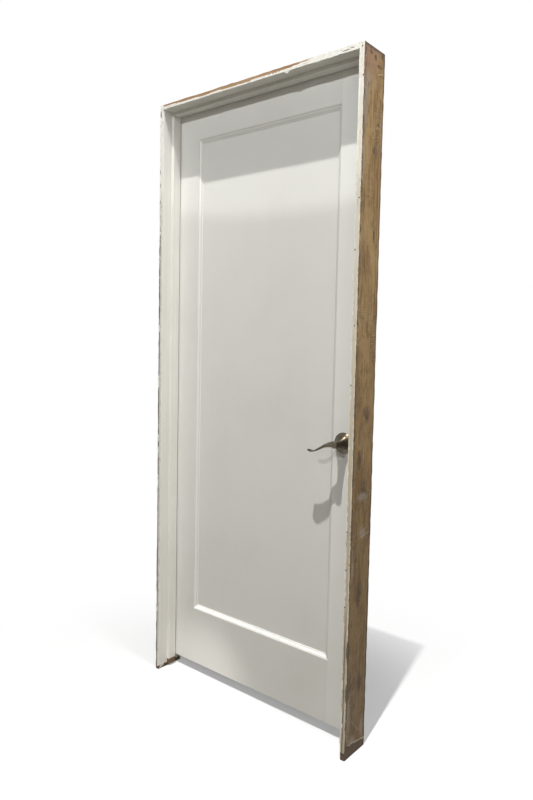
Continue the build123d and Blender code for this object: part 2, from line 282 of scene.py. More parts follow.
def paintMaterial(name, grime, streak, lift=1.0, low=1.0):
    # lift brightens the whole piece as painted light, low darkens its foot as painted shade
    material, coords = newMaterial(name)
    paint = coords.through(paintGroup, {"Grime": grime, "Streak": streak})
    level = coords.parts()[2].ramp(0.1, 0.9, 1.0, 0.0).mix(grey(lift), grey(low * lift))
    inputs = {0: 1.0, 6: paint["Colour"], 7: level}
    base = wireFrom(coords.tree, "Mix", inputs, 2, data_type="RGBA", blend_type="MULTIPLY")
    finishSurface(base, paint["Roughness"], paint["Height"], 0.0004, 0.35)
    return material


def mouldingMaterial():
    # painted shade in the quirk beside the frame member and in the groove before the bead
    material, coords = newMaterial("mouldingPaint")
    x, _, z = coords.parts()
    paint = coords.through(paintGroup, {"Grime": 0.12, "Streak": 0.08})
    inward = combine([x - panelLow.x, panelHigh.x - x, z - panelLow.z, panelHigh.z - z], "MINIMUM")
    quirk = inward.ramp(0.0018, 0.0032, 0.24, 0.0)
    groove = abs(inward - 0.0100).ramp(0.0008, 0.0022, 0.20, 0.0)
    # the lower length is painted lighter, as painted light where it faces the lamps, and gets no painted shade
    lower = (z - panelLow.z - inward).ramp(0.0001, 0.0003, 1.0, 0.0)
    base = lower.mix(paint["Colour"], paintLook["mouldingLit"])
    base = (combine([quirk, groove]) * (1.0 - lower)).mix(base, paintLook["mouldingShade"])
    finishSurface(base, paint["Roughness"], paint["Height"], 0.0004, 0.35)
    return material


leverAxis = (roseLow + roseHigh) / 2


def brushedDirection(coords):
    # the direction round the lever's axis, turned with the piece
    tree = coords.tree
    around = vectorNode(tree, "CROSS_PRODUCT", (0, 1, 0), vectorNode(tree, "SUBTRACT", coords, tuple(leverAxis)))
    turned = wireFrom(tree, "VectorTransform", {0: around},
                      vector_type="VECTOR", convert_from="OBJECT", convert_to="WORLD")
    return vectorNode(tree, "NORMALIZE", turned)


def metalMaterial(name, base, roughness, aniso=0.0):
    material, coords = newMaterial(name)
    fine = coords.grain((600, 600, 40), 2, 0.5)
    cloud = coords.noise(35, 3, 0.6)
    tint = cloud.ramp(0.35, 0.7).mix(colour(*base), colour(*[part * 0.72 for part in base]))
    rough = cloud.ramp(0.3, 0.7, roughness - 0.05, roughness + 0.07) + fine * 0.05
    extra = {"Metallic": 1.0}
    if aniso:
        extra.update({"Anisotropic": aniso, "Anisotropic Rotation": 0.25, "Tangent": brushedDirection(coords)})
    finishSurface(tint, rough, fine, 0.0001, 0.15, extra)
    return material


# the lock stile is lifted as painted light; both leaf paints are darker low down as painted shade
leafPaint = paintMaterial("leafPaint", 0.12, 0.08, low=0.94)
lockStilePaint = paintMaterial("lockStilePaint", 0.12, 0.08, lift=1.08, low=0.93)
trimPaint = paintMaterial("trimPaint", 0.3, 0.4)
mouldingPaint = mouldingMaterial()
# the nickel's base is darker than nickel: partly a dark aged finish, partly a painted reflection of a dark room
satinNickel = metalMaterial("satinNickel", (0.13, 0.11, 0.08), 0.30, aniso=0.75)
hingeMetal = metalMaterial("hingeMetal", (0.50, 0.47, 0.42), 0.34)
lockSteel = metalMaterial("lockSteel", (0.55, 0.55, 0.54), 0.4)

# the frame's wood; marks are given as depth, height, half width and half height

jambLook = {
    "primerHigh": colour(0.76, 0.71, 0.60),
    "primerLow": colour(0.50, 0.42, 0.29),
    "edgeDark": colour(0.085, 0.06, 0.04),
    "fleck": colour(0.66, 0.61, 0.53),
    "crack": colour(0.11, 0.075, 0.045),
    "footRed": colour(0.15, 0.075, 0.035),
    "scratch": colour(0.74, 0.69, 0.60),
    "strikeTide": 0.046,
    "hingeTide": 0.014,
    # height of the stop's dark foot, bare wood darkened as painted shade
    "stopBare": 0.029,
    "creams": ((-0.047, -0.016, 0.007, 0.006), (-0.036, -0.013, 0.006, 0.005), (-0.052, -0.021, 0.005, 0.003)),
    "knots": (
        (0.030, 2.047, 0.022, 0.007), (0.040, 2.0225, 0.020, 0.0022), (0.030, 1.882, 0.012, 0.005),
        (0.012, 1.805, 0.006, 0.012), (-0.050, 2.072, 0.004, 0.012), (-0.046, 2.034, 0.004, 0.018),
        (-0.022, 2.074, 0.014, 0.010), (0.040, 2.078, 0.016, 0.010), (0.004, 2.066, 0.010, 0.012),
        (-0.030, 1.982, 0.005, 0.010), (-0.018, 1.963, 0.004, 0.012),
    ),
    "smuts": (
        (0.012, 1.03, 0.028, 0.05), (-0.022, 0.895, 0.016, 0.05), (0.010, 0.800, 0.022, 0.060),
        (-0.005, 0.480, 0.020, 0.07), (0.015, 0.20, 0.020, 0.05), (0.022, 1.56, 0.012, 0.03),
    ),
    "greys": (
        (-0.044, 1.95, 0.024, 0.16), (-0.030, 2.00, 0.016, 0.07), (-0.050, 1.78, 0.016, 0.14),
        (0.0, 0.78, 0.045, 0.022), (-0.044, 0.10, 0.020, 0.16), (-0.02, 0.02, 0.030, 0.035),
        (0.035, 0.05, 0.016, 0.05), (-0.044, 0.58, 0.010, 0.10), (0.01, 0.668, 0.030, 0.024),
    ),
    # height and half height
    "gouges": ((0.317, 0.034), (0.188, 0.036)),
    # depth, height, half length, slope and half width
    "scratches": (
        (0.021, 0.6596, 0.037, 0.216, 0.0012), (0.017, 0.680, 0.031, 0.247, 0.0007),
        (0.027, 0.6576, 0.022, 0.208, 0.0007), (0.010, 0.690, 0.026, 0.25, 0.0005),
        (0.024, 0.649, 0.020, 0.21, 0.0006), (-0.002, 0.0637, 0.039, -1.066, 0.0010),
        (0.0308, 0.0385, 0.009, 0.60, 0.0008), (-0.003, 0.282, 0.029, 0.566, 0.0006),
        (0.0344, 2.0278, 0.021, 0.349, 0.0016), (0.018, 1.845, 0.025, 0.3, 0.0005),
        (0.030, 1.872, 0.018, 0.1, 0.0006),
    ),
}


def scratchMask(across, up, y, z, half, slope, width):
    # a straight light scratch on the raw face
    length = math.sqrt(1 + slope * slope)
    along = (across - y) * (1 / length) + (up - z) * (slope / length)
    off = (up - z) * (1 / length) - (across - y) * (slope / length)
    return abs(off).ramp(0.0, width, 1.0, 0.0) * abs(along).ramp(half * 0.6, half, 1.0, 0.0)


def broken(coords, mask, offset):
    # breaks a soft patch up along the grain
    fine = coords.grain((140, 140, 34), 6, 0.75, at=(offset, offset, 0))
    return mask * (fine + mask * 0.14).ramp(0.46, 0.68)


def jambMaterial(name, outerX, inward, tide, marked):
    # raw aged wood outside, white paint inside, primer on the front edge
    material, coords = newMaterial(name)
    x, y, z = coords.parts()
    paint = coords.through(paintGroup, {"Grime": 0.5, "Streak": 0.5})
    ragged = coords.grain((60, 60, 14), 6, 0.72)
    fromOuter = (x - outerX) * inward
    fromFront = y - frontY
    topZ = jambHigh.z

    # the foot is bare and dark below a wandering tide line
    tideZ = footZ + tide
    tideLine = z
    if marked:
        tideLine = z + (fromFront * 0.18 + fromFront.ramp(0.0008, 0.003, 0.022, 0.0))
    tideLine = tideLine + ragged.sway(0.003)
    aboveTide = tideLine.ramp(tideZ - 0.001, tideZ + 0.001)
    painted = (fromOuter + ragged.sway(0.0016)).ramp(0.0012, 0.0018) * aboveTide
    darkFoot = tideLine.ramp(tideZ - 0.0015, tideZ + 0.0015, 0.42 if marked else 0.5, 0.0)
    darkFoot = darkFoot + abs(tideLine - (tideZ - 0.005)).ramp(0.001, 0.005, 0.55, 0.0)
    darkFoot = darkFoot + z.ramp(footZ + 0.001, footZ + 0.009, 0.55, 0.0)

    # the raw wood is darker along its back and along its top; it is darker low down too, partly as grime and partly
    # as painted shade
    lowGrimeAndShade = z.ramp(0.2, 1.5, 0.56, 0.0, "LINEAR")
    backLine = (y + ragged.sway(0.004)).ramp(backY - 0.013, backY - 0.003, 0.0, 0.55)
    topWander = z + ragged.sway(0.006)
    smuts = [darkFoot, lowGrimeAndShade, backLine, topWander.ramp(topZ - 0.014, topZ - 0.003, 0.0, 0.7)]
    if marked:
        smuts.append(broken(coords, patches(coords, outerX, 0.03, jambLook["smuts"], 0.9, 0.8), 1) * 0.75)
    wood = coords.through(woodGroup, {"Darkness": combine(smuts, "ADD"), "Bloom": 0.3})
    raw = wood["Colour"]
    if marked:
        greyed = broken(coords, patches(coords, outerX, 0.03, jambLook["greys"], 0.9, 0.8), 4) * 0.72
        raw = (greyed * aboveTide).mix(raw, woodLook["grey"])
        redTop = z.ramp(topZ - 0.12, topZ - 0.03, 0.0, 0.55) * y.ramp(0.0, 0.03, 1.0, 0.25)
        raw = redTop.mix(raw, woodLook["red"])
        knots = broken(coords, patches(coords, outerX, 0.03, jambLook["knots"], 0.8, 0.5), 2) * 0.75
        raw = knots.mix(raw, woodLook["dark"])
        topEdge = topWander.ramp(topZ - 0.011, topZ - 0.004, 0.0, 0.85) * ragged.ramp(0.36, 0.48)
        raw = topEdge.mix(raw, jambLook["edgeDark"])
        scratches = combine([scratchMask(y, z, *each) for each in jambLook["scratches"]])
        tideMark = abs(tideLine - tideZ).ramp(0.0006, 0.0026, 0.95, 0.0) * y.ramp(frontY + 0.012, frontY + 0.034)
        tideGaps = coords.grain((150, 150, 150), 4, 0.7, at=(5, 1, 2))
        tideMark = tideMark * tideGaps.ramp(0.40, 0.52, 0.15, 1.0)
        raw = combine([scratches * 0.62, tideMark]).mix(raw, jambLook["scratch"])
        redFoot = tideLine.ramp(tideZ - 0.012, tideZ - 0.006, 0.6, 0.0) * fromFront.ramp(0.001, 0.003, 1.0, 0.0)
        raw = redFoot.mix(raw, jambLook["footRed"])

    # specks and dashes along the front arris of the raw face
    dashes = coords.grain((130, 130, 42), 5, 0.72, at=(2, 6, 4))
    dashed = dashes.ramp(0.48, 0.54) * fromFront.ramp(0.0115, 0.006)
    raw = (dashed * 0.9).mix(raw, jambLook["edgeDark"])
    flecks = coords.grain((160, 160, 70), 5, 0.75, at=(7, 3, 1))
    flecked = flecks.ramp(0.60, 0.68) * fromFront.ramp(0.030, 0.008)
    raw = (flecked * 0.7).mix(raw, jambLook["fleck"])

    # primer on the front edge, with a crack or a worn outer line
    primer = z.ramp(0.4, 1.7).mix(jambLook["primerLow"], jambLook["primerHigh"])
    soiled = coords.grain((300, 300, 18), 5, 0.7).ramp(0.55, 0.75, 0.0, 0.7)
    primer = soiled.mix(primer, woodLook["middle"])
    onFront = 1.0 - fromFront.ramp(0.0012, 0.0022)
    if marked:
        crack = abs(fromOuter + ragged.sway(0.0016) - 0.0095).ramp(0.0011, 0.0024, 1.0, 0.0)
        primer = (crack * z.ramp(0.32, 0.46, 1.0, 0.0)).mix(primer, jambLook["crack"])
    else:
        worn = coords.grain((40, 40, 26), 4, 0.7, at=(3, 3, 9)) + z.ramp(0.25, 0.6, 0.30, 0.14)
        worn = worn - z.ramp(1.55, 1.75, 0.0, 0.12)
        outerLine = worn.ramp(0.52, 0.60) * fromOuter.ramp(0.0074, 0.0086, 0.95, 0.0)
        primer = outerLine.mix(primer, jambLook["edgeDark"])
        raw = (outerLine * fromFront.ramp(0.004, 0.006, 1.0, 0.0)).mix(raw, jambLook["edgeDark"])
        onFront = onFront * combine([fromOuter.ramp(0.003, 0.006, 1.0, 0.2), outerLine])
        raw = patches(coords, hingeHigh.x, 0.01, jambLook["creams"], 0.8, 0.4).mix(raw, jambLook["fleck"])
    base = painted.mix(raw, onFront.mix(paint["Colour"], primer))
    if marked:
        places = [(frontY + 0.004, middle, 0.012, half) for middle, half in jambLook["gouges"]]
        base = (patches(coords, outerX, 0.006, places, 0.8, 0.4) * 0.92).mix(base, jambLook["edgeDark"])
    rough = painted.mix(wood["Roughness"], paint["Roughness"])
    finishSurface(base, rough, wood["Height"] * 0.8 + painted * 1.2, 0.0007, 0.8)
    return material


def stopMaterial():
    # white, with a dark foot: bare wood, darkened further as painted shade of the gap below the stop
    material, coords = newMaterial("stopPaint")
    paint = coords.through(paintGroup, {"Grime": 0.3, "Streak": 0.4})
    wood = coords.through(woodGroup, {"Darkness": 0.75, "Bloom": 0.0})
    line = coords.parts()[2] + coords.grain((80, 80, 20), 6, 0.72).sway(0.0025)
    bareTop = footZ + jambLook["stopBare"]
    painted = line.ramp(bareTop - 0.0006, bareTop + 0.0006)
    base = painted.mix(wood["Colour"], paint["Colour"])
    finishSurface(base, painted.mix(wood["Roughness"], paint["Roughness"]), paint["Height"], 0.0004, 0.35)
    return material


headLook = {
    "stripTop": colour(0.21, 0.11, 0.05),
    "stripLow": colour(0.36, 0.22, 0.125),
    # from the head's end: where the bare strip starts to narrow and where it ends
    "narrowFrom": 0.56,
    "narrowTo": 0.71,
    "bareWide": 0.0125,
    "bareNarrow": 0.0002,
}


def headMaterial():
    # white, with a bare strip along its top that narrows towards the strike side
    material, coords = newMaterial("headJambWood")
    x, y, z = coords.parts()
    paint = coords.through(paintGroup, {"Grime": 0.5, "Streak": 0.5})
    turned = coords.mapped((1, 1, 1), turn=(0, math.pi / 2, 0))
    wood = turned.through(woodGroup, {"Darkness": 0.0, "Bloom": 0.5})
    bare = x.ramp(headLow.x + headLook["narrowFrom"], headLow.x + headLook["narrowTo"],
                  headLook["bareWide"], headLook["bareNarrow"], "LINEAR")
    line = headHigh.z - z + coords.grain((16, 60, 60), 6, 0.72).sway(0.004, 0.2, 0.8)
    painted = (line - bare).ramp(-0.0004, 0.0004)
    strip = line.ramp(0.001, 0.006).mix(headLook["stripTop"], headLook["stripLow"])
    strip = y.ramp(frontY + 0.001, frontY + 0.003, 0.75, 0.0).mix(wood["Colour"], strip)
    base = painted.mix(strip, paint["Colour"])
    onFront = y.ramp(frontY + 0.002, frontY + 0.004, 1.0, 0.0)
    base = (onFront * painted * x.ramp(0.765, 0.775)).mix(base, jambLook["crack"])
    rough = painted.mix(wood["Roughness"], paint["Roughness"])
    finishSurface(base, rough, wood["Height"], 0.0006, 0.7)
    return material


def tornMaterial():
    material, coords = newMaterial("tornPaint")
    cloud = coords.noise(60, 4, 0.65)
    fine = coords.noise(420, 3, 0.6)
    cream = cloud.ramp(0.42, 0.8).mix(colour(0.83, 0.82, 0.775), colour(0.66, 0.60, 0.49))
    soiled = fine.ramp(0.62, 0.76, 0.0, 0.6).mix(cream, paintLook["grime"])
    finishSurface(soiled, cloud.ramp(0.3, 0.7, 0.45, 0.7), fine, 0.0006, 0.6)
    return material


def darkMaterial():
    material, coords = newMaterial("nailDark")
    rust = coords.noise(700, 2).mix(colour(0.035, 0.026, 0.018), colour(0.12, 0.075, 0.04))
    finishSurface(rust, coords.noise(500, 2).ramp(0.3, 0.7, 0.55, 0.8))
    return material


stopPaint = stopMaterial()
strikeJambWood = jambMaterial("strikeJambWood", jambHigh.x, -1.0, jambLook["strikeTide"], True)
hingeJambWood = jambMaterial("hingeJambWood", hingeLow.x, 1.0, jambLook["hingeTide"], False)
headJambWood = headMaterial()
tornPaint = tornMaterial()
nailDark = darkMaterial()
print("materials made")


def dress(material, *names):
    for name in names:
        slots = nodes[name].data.materials
        slots.clear()
        slots.append(material)


dress(leafPaint, "hinge_stile", "top_rail", "bottom_rail", "panel")
dress(lockStilePaint, "lock_stile")
dress(mouldingPaint, *[name for name in nodes if "moulding" in name])
dress(stopPaint, "hinge_side_stop", "strike_side_stop")
dress(trimPaint, "head_stop")
dress(strikeJambWood, "strike_jamb")
dress(hingeJambWood, "hinge_jamb")
dress(headJambWood, "head_jamb")
dress(satinNickel, "front_rose", "back_rose", "front_lever", "back_lever", "privacy_button")
dress(hingeMetal, *[name for name in nodes if name.endswith(("jamb_leaf", "door_leaf", "hinge_pin"))])
dress(hingeMetal, "strike_plate", "latch_faceplate")
dress(lockSteel, "latch_bolt", "latch_case", "lock_chassis", "spindle")

# mesh helpers

onPlane = 0.00002
standing = Matrix.Rotation(math.pi / 2, 3, "X")


def meshFrom(work, name):
    mesh = bpy.data.meshes.new(name)
    work.to_mesh(mesh)
    work.free()
    return mesh


def addObject(name, data):
    made = bpy.data.objects.new(name, data)
    scene.collection.objects.link(made)
    return made


def newPiece(name, work, body, material, replaced=(), smooth=None):
    # smooth is the angle in degrees from which an edge stays sharp
    mesh = meshFrom(work, name)
    mesh.materials.append(material)
    if smooth is not None:
        mesh.shade_smooth()
        mesh.set_sharp_from_angle(angle=math.radians(smooth))
    piece = addObject(name, mesh)
    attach(piece, body)
    if replaced:
        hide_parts(*replaced)


def ofKind(items, kind):
    return [item for item in items if isinstance(item, kind)]


def facesOut(work):
    bmesh.ops.recalc_face_normals(work, faces=work.faces)


def setDown(work, turn, place, verts=None):
    # turns about the origin, then moves
    verts = verts or work.verts
    bmesh.ops.rotate(work, cent=(0, 0, 0), matrix=turn, verts=verts)
    bmesh.ops.translate(work, vec=place, verts=verts)


def turnTo(way):
    return Vector((0, 0, 1)).rotation_difference(way).to_matrix()


def flatCopy(node):
    # the solid's mesh, with its flat faces in one piece each
    work = bmesh.new()
    work.from_mesh(nodes[node].data)
    bmesh.ops.remove_doubles(work, verts=work.verts, dist=0.00001)
    bmesh.ops.dissolve_limit(work, angle_limit=math.radians(0.4), verts=work.verts, edges=work.edges)
    return work


def onArris(edge, low, high):
    # true where an edge runs along one of the box's own edges
    planes = 0
    for axis in range(3):
        for level in (low[axis], high[axis]):
            planes += all(abs(vertex.co[axis] - level) < onPlane for vertex in edge.verts)
    return planes >= 2


def easeArrises(work, low, high, radius):
    edges = [edge for edge in work.edges if onArris(edge, low, high)]
    bmesh.ops.bevel(work, geom=edges, offset=radius, offset_type="OFFSET", segments=2, profile=0.5,
                    affect="EDGES", material=-1, clamp_overlap=True)


def sliceAlong(work, axis, levels):
    normal = Vector((0, 0, 0))
    normal[axis] = 1
    for level in levels:
        geometry = work.verts[:] + work.edges[:] + work.faces[:]
        bmesh.ops.bisect_plane(work, geom=geometry, plane_co=normal * level, plane_no=normal, dist=0.000002)


def clamped(value, low=0.0, high=1.0):
    return min(max(value, low), high)


def wander(seed, along, frequency):
    # a smooth noise along one length
    return noise.noise(Vector((seed * 7.31, seed * 2.17, along * frequency)))


def wearAlong(work, low, high, axis, reach, amount, seed):
    # dents that eat into the long arrises, deeper where two noises agree
    across = [other for other in range(3) if other != axis]
    for vertex in work.verts:
        sides = []
        for other in across:
            toLow, toHigh = vertex.co[other] - low[other], high[other] - vertex.co[other]
            sides.append((min(toLow, toHigh), other, 1.0 if toLow < toHigh else -1.0))
        farthest = max(side[0] for side in sides)
        if farthest > reach:
            continue
        corner = seed + (sides[0][2] > 0) * 3 + (sides[1][2] > 0) * 5
        along = vertex.co[axis]
        slow = wander(corner, along, 6.0)
        quick = wander(corner + 0.5, along, 38.0)
        dent = max(0.0, 0.25 + 0.5 * slow + 0.8 * quick) * amount * (1.0 - farthest / reach)
        for _, other, inward in sides:
            vertex.co[other] += inward * dent


def levelsBetween(low, high, spacing):
    count = max(2, int((high - low) / spacing))
    return [low + (high - low) * index / count for index in range(1, count)]


# worn jambs and head

# frontSet leaves room for the coat of paint; reach is how far from an arris the dents go
boardLook = {"frontSet": 0.0006, "arris": 0.0011, "spacing": 0.011, "reach": 0.0032, "dent": 0.0016}


def wornBoard(name, node, axis, material, seed):
    low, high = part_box(node)
    work = flatCopy(node)
    for vertex in work.verts:
        if vertex.co.y < low.y + onPlane:
            vertex.co.y += boardLook["frontSet"]
    low = low + Vector((0, boardLook["frontSet"], 0))
    easeArrises(work, low, high, boardLook["arris"])
    for other in (each for each in range(3) if each != axis):
        sliceAlong(work, other, (low[other] + boardLook["reach"], high[other] - boardLook["reach"]))
    sliceAlong(work, axis, levelsBetween(low[axis], high[axis], boardLook["spacing"]))
    wearAlong(work, low, high, axis, boardLook["reach"], boardLook["dent"], seed)
    newPiece(name, work, "frame", material, (node,))


wornBoard("wornStrikeJamb", "strike_jamb", 2, strikeJambWood, 1)
wornBoard("wornHingeJamb", "hinge_jamb", 2, hingeJambWood, 2)
wornBoard("wornHeadJamb", "head_jamb", 0, headJambWood, 3)
print("jambs and head made")

# nails in the strike jamb's front edge

nailLook = {
    # across the front edge and height
    "places": ((0.852, 2.080), (0.8566, 2.000), (0.855, 1.659), (0.8465, 1.512), (0.852, 1.293), (0.8455, 1.119),
               (0.8464, 0.682), (0.8466, 0.566), (0.8465, 0.452)),
    "radius": 0.0026,
    "taper": 0.8,
    "sunk": 0.0004,
    "deep": 0.003,
    "torn": 0.0034,
}


def nailHeads():
    work = bmesh.new()
    radius, deep = nailLook["radius"], nailLook["deep"]
    for x, z in nailLook["places"]:
        made = bmesh.ops.create_cone(work, cap_ends=True, cap_tris=False, segments=16, radius1=radius,
                                     radius2=radius * nailLook["taper"], depth=deep)["verts"]
        setDown(work, standing, (x, frontY + nailLook["sunk"] + deep / 2, z), made)
    facesOut(work)
    newPiece("nailHeads", work, "frame", nailDark)


nailHeads()
print("nails made")

# torn paint that stands on the front edges

skinLook = {"thickness": 0.0005, "cell": 0.0021, "inset": 0.0004, "lift": 0.00025}
skinPlane = frontY + 0.00003


def paintSkin(name, low, high, bare, seed):
    # a thin coat on the frame's front, with ragged holes where bare(x, z) is true
    wide, tall = high[0] - low[0], high[1] - low[1]
    across = max(6, int(wide / skinLook["cell"]))
    up = max(6, int(tall / skinLook["cell"]))
    work = bmesh.new()
    bmesh.ops.create_grid(work, x_segments=across, y_segments=up, size=0.5)
    bmesh.ops.scale(work, vec=(wide, tall, 1), verts=work.verts)
    setDown(work, standing, ((low[0] + high[0]) / 2, skinPlane, (low[1] + high[1]) / 2))
    for vertex in work.verts:
        spread = Vector((vertex.co.x * 330, seed * 3.7, vertex.co.z * 330))
        vertex.co.x += 0.0007 * noise.noise(spread)
        vertex.co.z += 0.0009 * noise.noise(spread + Vector((9, 0, 0)))
        vertex.co.x = clamped(vertex.co.x, low[0], high[0])
        vertex.co.z = clamped(vertex.co.z, low[1], high[1])
    middles = [(face, face.calc_center_median()) for face in work.faces]
    bmesh.ops.delete(work, geom=[face for face, middle in middles if bare(middle.x, middle.z)], context="FACES")
    for vertex in work.verts:
        vertex.co.y -= skinLook["lift"] * max(0.0, noise.noise(vertex.co * 140))
    bmesh.ops.solidify(work, geom=work.faces[:], thickness=skinLook["thickness"])
    facesOut(work)
    back = skinPlane - min(vertex.co.y for vertex in work.verts)
    bmesh.ops.translate(work, vec=(0, back, 0), verts=work.verts)
    newPiece(name, work, "frame", tornPaint)


def rag(x, z, seed, fineness=150.0):
    # an uneven noise across a face, drawn out along the grain
    broad = noise.noise(Vector((x * fineness * 0.35, seed, z * fineness * 0.1)))
    fine = noise.noise(Vector((x * fineness, seed + 4, z * fineness * 0.3)))
    small = noise.noise(Vector((x * fineness * 2.6, seed + 8, z * fineness * 1.1)))
    return 0.5 * broad + 0.35 * fine + 0.3 * small


def inGouge(z):
    # true beside a chip of the strike jamb's outer arris
    return any(abs(z - middle) < 0.85 * half for middle, half in jambLook["gouges"])


def strikeBare(x, z):
    # white stays on the inner rim and a thin outer line; the primer shows between them
    across = (x - jambLow.x) / (jambHigh.x - jambLow.x)
    ragged = rag(x, z, 2.0)
    top = clamped((z - 1.90) / 0.08)
    low = clamped((1.0 - z) / 0.5)
    inner = 0.19 + 0.24 * top + (0.20 + 0.30 * low) * rag(x, z, 6.0, 60.0)
    outer = 0.87 - 0.24 * top + (0.14 + 0.16 * low) * rag(x, z, 9.0, 80.0)
    torn = ragged > 0.42 - 0.22 * clamped((0.95 - z) / 0.6)
    nailed = any(math.hypot(x - nailX, z - nailZ) < nailLook["torn"] for nailX, nailZ in nailLook["places"])
    chipped = inGouge(z) and across > 0.70 + 0.2 * ragged
    foot = z < footZ + 0.040 + 0.004 * wander(4, x, 260)
    return torn or nailed or chipped or foot or inner < across < outer


def hingeBare(x, z):
    # the outer line is bare along most of the jamb, and so is the foot
    across = (x - hingeLow.x) / (hingeHigh.x - hingeLow.x)
    torn = rag(x, z, 5.0, 170.0) - 0.52 + 1.2 * max(0.0, (0.12 - across) / 0.12) > 0.1
    worn = rag(x, z, 11.0, 40.0) + 0.5 * clamped((0.45 - z) / 0.25) + (0.42 if 0.24 < z < 1.70 else 0.0)
    outer = worn > 0.10 and across < 0.46 + 0.12 * rag(x, z, 13.0, 90.0)
    return torn or outer or z < footZ + 0.011 + 0.004 * wander(3, x, 300)


def headBare(x, z):
    # a notch, a split and a hole, and the bare strip along the top
    above = (z - headLow.z) / (headHigh.z - headLow.z)
    notched = abs(x - 0.331) < 0.006 * above
    start = 0.36 + 0.24 * max(0.0, (0.20 - x) / 0.18) + 0.64 * clamped((x - 0.57) / 0.14)
    split = 0.785 < x < 0.826 and abs(above - 0.30 - 5.0 * (x - 0.785)) < 0.06
    hole = math.hypot(x - 0.780, z - 2.0865) < 0.0022
    strip = above > start + 0.12 * rag(z, x, 7.0, 90.0)
    return notched or split or hole or strip or (rag(z, x, 3.0) > 0.5 and x < 0.7)


inset = skinLook["inset"]
paintSkin("strikeJambCoat", (jambLow.x + inset, footZ + 0.002), (jambHigh.x - 0.001, jambHigh.z - 0.001),
          strikeBare, 1)
paintSkin("hingeJambCoat", (hingeLow.x + 0.001, footZ + 0.002), (hingeHigh.x - inset, hingeHigh.z - 0.001),
          hingeBare, 2)
paintSkin("headJambCoat", (hingeHigh.x - 0.004, headLow.z + inset), (jambLow.x + 0.004, headHigh.z - 0.0006),
          headBare, 3)


ridgeLook = {"sides": 7, "spacing": 0.0045, "least": 0.05, "sharp": 60}


def raggedBead(name, start, end, radius, seed, density, slotName):
    # a broken ridge of old paint and caulk along an arris; density(part) thins it along its length
    course = Vector(end) - Vector(start)
    length = course.length
    work = bmesh.new()
    bmesh.ops.create_circle(work, cap_ends=True, segments=ridgeLook["sides"], radius=radius)
    count = int(length / ridgeLook["spacing"])
    tip = work.faces[:]
    for _ in range(count):
        grown = bmesh.ops.extrude_face_region(work, geom=tip)["geom"]
        bmesh.ops.translate(work, vec=(0, 0, length / count), verts=ofKind(grown, bmesh.types.BMVert))
        tip = ofKind(grown, bmesh.types.BMFace)
    inner = [face for face in work.faces if abs(abs(face.normal.z) - 1) < 0.01]
    inner = [face for face in inner if 0.001 < face.calc_center_median().z < length - 0.001]
    bmesh.ops.delete(work, geom=inner, context="FACES_ONLY")
    for vertex in work.verts:
        along = vertex.co.z
        body = 0.55 + 0.9 * wander(seed, along, 30.0) + 0.7 * wander(seed + 1, along, 120.0)
        body *= clamped(density(along / length))
        spike = 0.4 * noise.noise(Vector((vertex.co.x * 900, vertex.co.y * 900, along * 260 + seed)))
        size = max(ridgeLook["least"], body + spike)
        vertex.co.x *= size
        vertex.co.y *= size
    facesOut(work)
    setDown(work, turnTo(course.normalized()), start)
    for vertex in work.verts:
        vertex.co.y = max(vertex.co.y, frontY)
        vertex.co.x = clamped(vertex.co.x, hingeLow.x, jambHigh.x)
        vertex.co.z = clamped(vertex.co.z, footZ, headHigh.z)
    newPiece(name, work, "frame", tornPaint, smooth=ridgeLook["sharp"])


def ridgeUp(name, x, deep, low, high, *others):
    raggedBead(name, (x, frontY + deep, low), (x, frontY + deep, high), *others)


ridgeLow, ridgeHigh = footZ + 0.04, headHigh.z - 0.004


def outerDensity(part):
    return 0.0 if inGouge(ridgeLow + part * (ridgeHigh - ridgeLow)) else 0.9 - 0.2 * part


ridgeUp("strikeInnerRidge", jambLow.x + 0.0004, 0.0014, footZ + 0.05, headLow.z, 0.0021, 1,
        lambda part: 1.15 - 0.75 * part, "aged_jamb_wood")
ridgeUp("strikeOuterRidge", jambHigh.x - 0.0016, 0.0009, ridgeLow, ridgeHigh, 0.0014, 2,
        outerDensity, "aged_jamb_wood")
ridgeUp("hingeInnerRidge", hingeHigh.x - 0.0006, 0.0010, footZ + 0.03, headLow.z, 0.0011, 3,
        lambda part: 0.8, "painted_jamb_wood")
place = Vector((0, frontY + 0.0012, headLow.z + 0.0003))
raggedBead("headLowerRidge", place + Vector((hingeHigh.x, 0, 0)), place + Vector((jambLow.x, 0, 0)), 0.0012, 4,
           lambda part: 0.7 + 0.3 * part, "painted_jamb_wood")

# loose flakes that hang from the head's lower arris

flakeLook = {
    # place along the head, half width and drop
    "places": ((0.583, 0.013, 0.0072), (0.239, 0.008, 0.0030), (0.44, 0.006, 0.0025), (0.70, 0.013, 0.0028),
               (0.745, 0.010, 0.0026), (0.12, 0.008, 0.0025)),
    "thick": 0.0006,
    "overlap": 0.0016,
    "curl": 0.0009,
}


def hangingFlakes():
    work = bmesh.new()
    for index, (x, half, drop) in enumerate(flakeLook["places"]):
        made = bmesh.ops.create_grid(work, x_segments=8, y_segments=5, size=0.5)["verts"]
        for vertex in made:
            along, down = vertex.co.x * 2, 0.5 - vertex.co.y
            reach = max(0.08, (1 - abs(along + 0.25 * math.sin(index * 2.1))) + 0.25 * wander(index, along, 2.2))
            vertex.co.x = x + along * half
            vertex.co.z = headLow.z + flakeLook["overlap"] - down * (drop * reach + flakeLook["overlap"])
            vertex.co.y = frontY + 0.0004 + flakeLook["curl"] * down * (1 + wander(index + 3, along, 1.7))
    bmesh.ops.solidify(work, geom=work.faces[:], thickness=flakeLook["thick"])
    facesOut(work)
    for vertex in work.verts:
        vertex.co.y = max(vertex.co.y, frontY)
    newPiece("hangingFlakes", work, "frame", tornPaint)


hangingFlakes()
print("torn paint made")

# screws

